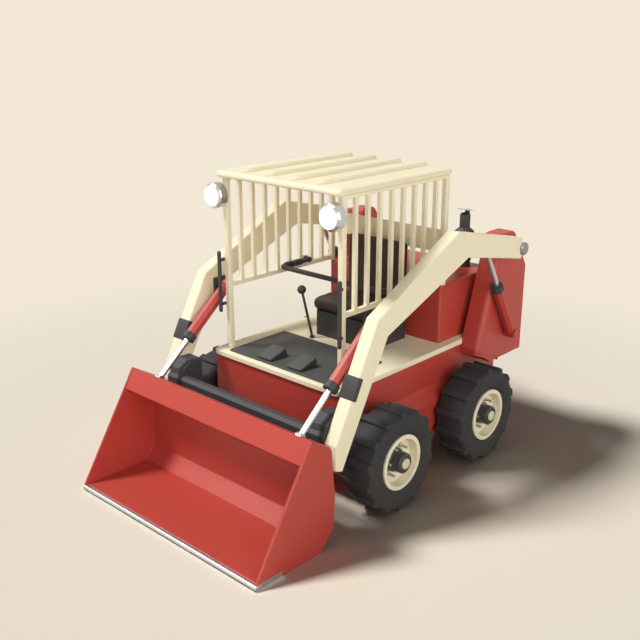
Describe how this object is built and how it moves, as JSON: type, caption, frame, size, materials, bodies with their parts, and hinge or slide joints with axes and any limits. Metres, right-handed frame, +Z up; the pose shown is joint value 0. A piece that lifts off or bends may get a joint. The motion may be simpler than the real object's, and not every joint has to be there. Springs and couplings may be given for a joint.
{
  "type": "skid steer loader",
  "caption": "Compact skid steer loader with a low bucket, lift arms along both sides, a barred open cab and four lugged tyres.",
  "frame": {"origin": "on the ground under the centre of the footprint", "axes": "+X to the machine's left, +Y to its rear, +Z up; the bucket points along -Y"},
  "size_m": [1.804, 2.818, 2.034],
  "materials": {
    "body_paint": "satin",
    "cream_paint": "satin",
    "black_steel": "satin",
    "hub_steel": "satin",
    "edge_steel": "brushed",
    "rod_chrome": "polished",
    "lamp_chrome": "polished",
    "lens_glass": "polished",
    "engine_iron": "rough",
    "black_plastic": "matte",
    "mat_rubber": "matte",
    "seat_vinyl": "matte",
    "tyre_rubber": "matte"
  },
  "bodies": {
    "chassis": {"door_hinges": "black_steel", "hull_tub": "body_paint", "deck": "cream_paint", "floor_mat": "mat_rubber", "towers": "body_paint", "engine_cover": "body_paint", "engine_block": "engine_iron", "exhaust": "black_steel", "tow_eye": "black_steel", "cage_sides": "cream_paint", "cage_back": "cream_paint", "roof": "cream_paint", "seat_base": "black_plastic", "seat_cushion": "seat_vinyl", "seat_back": "seat_vinyl", "controls": "black_plastic", "lamp_housings": "lamp_chrome", "lamp_lenses": "lens_glass", "grab_bars": "black_steel", "axle_stubs": "black_steel"},
    "boom": {"arm_left": "cream_paint", "arm_right": "cream_paint", "cross_tube": "black_steel", "tilt_brackets": "black_steel"},
    "bucket": {"bucket_shell": "body_paint", "cutting_edge": "edge_steel"},
    "lap_bar": {"lap_bar": "black_steel"},
    "rear_door": {"rear_door": "body_paint"},
    "wheel_front_left": {"tyre_front_left": "tyre_rubber", "rim_front_left": "cream_paint", "hub_front_left": "hub_steel"},
    "wheel_front_right": {"tyre_front_right": "tyre_rubber", "rim_front_right": "cream_paint", "hub_front_right": "hub_steel"},
    "wheel_rear_left": {"tyre_rear_left": "tyre_rubber", "rim_rear_left": "cream_paint", "hub_rear_left": "hub_steel"},
    "wheel_rear_right": {"tyre_rear_right": "tyre_rubber", "rim_rear_right": "cream_paint", "hub_rear_right": "hub_steel"},
    "lift_barrel_left": {"lift_barrel_left": "body_paint"},
    "tilt_barrel_left": {"tilt_barrel_left": "body_paint"},
    "lift_rod_left": {"lift_rod_left": "rod_chrome"},
    "tilt_rod_left": {"tilt_rod_left": "rod_chrome"},
    "lift_barrel_right": {"lift_barrel_right": "body_paint"},
    "tilt_barrel_right": {"tilt_barrel_right": "body_paint"},
    "lift_rod_right": {"lift_rod_right": "rod_chrome"},
    "tilt_rod_right": {"tilt_rod_right": "rod_chrome"}
  },
  "joints": [
    {"name": "wheel_front_left_spin", "type": "hinge", "parent": "chassis", "child": "wheel_front_left", "pos_m": [0.76, -0.203, 0.333], "axis": [1, 0, 0], "continuous": true},
    {"name": "wheel_front_right_spin", "type": "hinge", "parent": "chassis", "child": "wheel_front_right", "pos_m": [-0.76, -0.203, 0.333], "axis": [1, 0, 0], "continuous": true},
    {"name": "wheel_rear_left_spin", "type": "hinge", "parent": "chassis", "child": "wheel_rear_left", "pos_m": [0.76, 0.758, 0.333], "axis": [1, 0, 0], "continuous": true},
    {"name": "wheel_rear_right_spin", "type": "hinge", "parent": "chassis", "child": "wheel_rear_right", "pos_m": [-0.76, 0.758, 0.333], "axis": [1, 0, 0], "continuous": true},
    {"name": "boom_raise", "type": "hinge", "parent": "chassis", "child": "boom", "pos_m": [0, 1.182, 1.424], "axis": [-1, 0, 0], "range_deg": [0, 50]},
    {"name": "bucket_tilt", "type": "hinge", "parent": "boom", "child": "bucket", "pos_m": [0, -0.733, 0.4], "axis": [1, 0, 0], "range_deg": [-10, 55]},
    {"name": "lap_bar_swing", "type": "hinge", "parent": "chassis", "child": "lap_bar", "pos_m": [0, 0.357, 1.283], "axis": [-1, 0, 0], "range_deg": [0, 80]},
    {"name": "rear_door_swing", "type": "hinge", "parent": "chassis", "child": "rear_door", "pos_m": [0.512, 1.347, 0.785], "axis": [0, 0, -1], "range_deg": [0, 100]},
    {"name": "lift_barrel_left_swing", "type": "hinge", "parent": "chassis", "child": "lift_barrel_left", "pos_m": [0.752, 1.186, 0.8], "axis": [-1, 0, 0], "range_deg": [0, 17]},
    {"name": "lift_rod_left_slide", "type": "slide", "parent": "lift_barrel_left", "child": "lift_rod_left", "axis": [0, -0.5051, 0.8631], "range_m": [0, 0.217]},
    {"name": "tilt_barrel_left_swing", "type": "hinge", "parent": "boom", "child": "tilt_barrel_left", "pos_m": [0.644, -0.263, 1.19], "axis": [1, 0, 0], "range_deg": [-0.6, 3.1]},
    {"name": "tilt_rod_left_slide", "type": "slide", "parent": "tilt_barrel_left", "child": "tilt_rod_left", "axis": [0, -0.7654, -0.6436], "range_m": [-0.0515, 0.2835]},
    {"name": "lift_barrel_right_swing", "type": "hinge", "parent": "chassis", "child": "lift_barrel_right", "pos_m": [-0.752, 1.186, 0.8], "axis": [-1, 0, 0], "range_deg": [0, 17]},
    {"name": "lift_rod_right_slide", "type": "slide", "parent": "lift_barrel_right", "child": "lift_rod_right", "axis": [0, -0.5051, 0.8631], "range_m": [0, 0.217]},
    {"name": "tilt_barrel_right_swing", "type": "hinge", "parent": "boom", "child": "tilt_barrel_right", "pos_m": [-0.644, -0.263, 1.19], "axis": [1, 0, 0], "range_deg": [-0.6, 3.1]},
    {"name": "tilt_rod_right_slide", "type": "slide", "parent": "tilt_barrel_right", "child": "tilt_rod_right", "axis": [0, -0.7654, -0.6436], "range_m": [-0.0515, 0.2835]}
  ],
  "couplings": [
    {"joint": "lift_barrel_left_swing", "follows": "boom_raise", "ratio": 0.33},
    {"joint": "lift_rod_left_slide", "follows": "boom_raise", "m_per_rad": 0.2475},
    {"joint": "tilt_barrel_left_swing", "follows": "bucket_tilt", "ratio": 0.055},
    {"joint": "tilt_rod_left_slide", "follows": "bucket_tilt", "m_per_rad": 0.295},
    {"joint": "lift_barrel_right_swing", "follows": "boom_raise", "ratio": 0.33},
    {"joint": "lift_rod_right_slide", "follows": "boom_raise", "m_per_rad": 0.2475},
    {"joint": "tilt_barrel_right_swing", "follows": "bucket_tilt", "ratio": 0.055},
    {"joint": "tilt_rod_right_slide", "follows": "bucket_tilt", "m_per_rad": 0.295}
  ]
}
